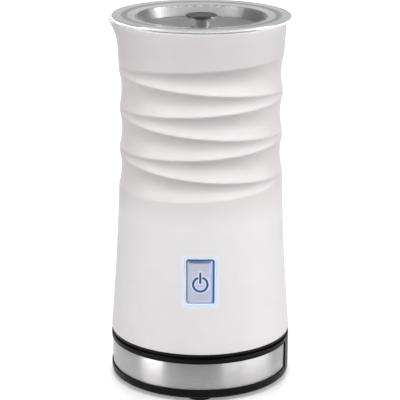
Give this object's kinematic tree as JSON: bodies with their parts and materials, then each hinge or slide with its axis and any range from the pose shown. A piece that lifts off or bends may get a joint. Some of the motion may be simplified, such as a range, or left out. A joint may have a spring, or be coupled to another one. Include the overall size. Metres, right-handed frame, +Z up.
{
  "type": "milk frother",
  "caption": "Cordless electric milk frother: folded jug with push button and pouring lip, clear lid, magnet-driven whisk, on a round power base.",
  "frame": {"origin": "on the jug's vertical axis, at the level that the feet stand on", "axes": "+Z up, the button faces -Y, the pouring lip points to -X"},
  "size_m": [0.101, 0.1, 0.2051],
  "materials": {
    "shell_plastic": "satin moulded",
    "black_plastic": "fine moulded texture",
    "band_steel": "brushed round the band",
    "nylon": "moulded",
    "contact_brass": "turned",
    "foot_rubber": "moulded",
    "gland_rubber": "moulded",
    "screw_steel": "zinc plated",
    "pot_steel": "spun and brushed",
    "gasket_silicone": "moulded",
    "heater_aluminium": "cast",
    "heater_coil": "oxidised",
    "motor_steel": "zinc plated",
    "ferrite": "sintered",
    "magnet_nickel": "nickel plated",
    "bush_bronze": "sintered",
    "white_nylon": "moulded",
    "board_laminate": "solder mask",
    "component_black": "moulded",
    "component_yellow": "moulded",
    "component_blue": "moulded",
    "terminal_green": "moulded",
    "led_lens": "clear",
    "light_guide": "frosted, lit",
    "button_silver": "brushed foil face",
    "symbol_blue": "translucent, lit",
    "lid_clear": "clear moulded",
    "lid_silicone": "moulded",
    "whisk_plastic": "moulded",
    "whisk_steel": "spring wire"
  },
  "bodies": {
    "base": {"base_bottom": "black_plastic", "base_top": "black_plastic", "steel_band": "band_steel", "base_connector": "nylon", "base_contact_sleeve": "contact_brass", "base_contact_rings": "contact_brass", "base_feet": "foot_rubber", "base_screws": "screw_steel", "cord_gland": "gland_rubber"},
    "lid": {"lid_dish": "lid_clear", "lid_knob": "lid_clear", "lid_seal": "lid_silicone"},
    "drive_rotor": {"motor_shaft": "screw_steel", "motor_armature": "motor_steel", "magnet_carrier": "white_nylon", "drive_magnets": "magnet_nickel"},
    "whisk": {"whisk_hub": "whisk_plastic", "whisk_magnets": "magnet_nickel", "whisk_frame": "whisk_plastic", "whisk_coil": "whisk_steel"},
    "power_button": {"button_cap": "button_silver", "power_symbol": "symbol_blue"},
    "plunger": {"switch_plunger": "component_black"},
    "jug": {"outer_shell": "shell_plastic", "jug_bottom_cover": "black_plastic", "cover_screws": "screw_steel", "inner_pot": "pot_steel", "pot_gasket": "gasket_silicone", "pivot_pin": "pot_steel", "jug_connector": "nylon", "jug_contact_pin": "contact_brass", "jug_contact_rings": "contact_brass", "heater_plate": "heater_aluminium", "heater_element": "heater_coil", "thermostat": "motor_steel", "motor_bracket": "white_nylon", "bracket_nuts": "screw_steel", "motor_screws": "screw_steel", "motor_can": "motor_steel", "motor_field_magnets": "ferrite", "motor_end_cap": "white_nylon", "motor_bushes": "bush_bronze", "control_board": "board_laminate", "board_screws": "screw_steel", "relay": "component_blue", "filter_capacitor": "component_black", "suppression_capacitor": "component_yellow", "terminal_block": "terminal_green", "switch_board": "board_laminate", "switch_housing": "component_black", "status_leds": "led_lens", "button_light_frame": "light_guide"}
  },
  "joints": [
    {"name": "jug_lift", "type": "slide", "parent": "base", "child": "jug", "axis": [0, 0, 1], "range_m": [0, 0.1]},
    {"name": "lid_lift", "type": "slide", "parent": "jug", "child": "lid", "axis": [0, 0, 1], "range_m": [0, 0.06]},
    {"name": "drive_spin", "type": "hinge", "parent": "jug", "child": "drive_rotor", "pos_m": [0, 0, 0.07], "axis": [0, 0, 1], "continuous": true},
    {"name": "whisk_lift", "type": "slide", "parent": "drive_rotor", "child": "whisk", "axis": [0, 0, 1], "range_m": [0, 0.08]},
    {"name": "button_press", "type": "slide", "parent": "jug", "child": "power_button", "axis": [0, 1, 0], "range_m": [0, 0.0008], "stiffness_N_per_m": 500, "springref_m": -0.002},
    {"name": "plunger_press", "type": "slide", "parent": "jug", "child": "plunger", "axis": [0, 1, 0], "range_m": [0, 0.0008]}
  ],
  "couplings": [
    {"joint": "plunger_press", "follows": "button_press", "ratio": 1}
  ]
}
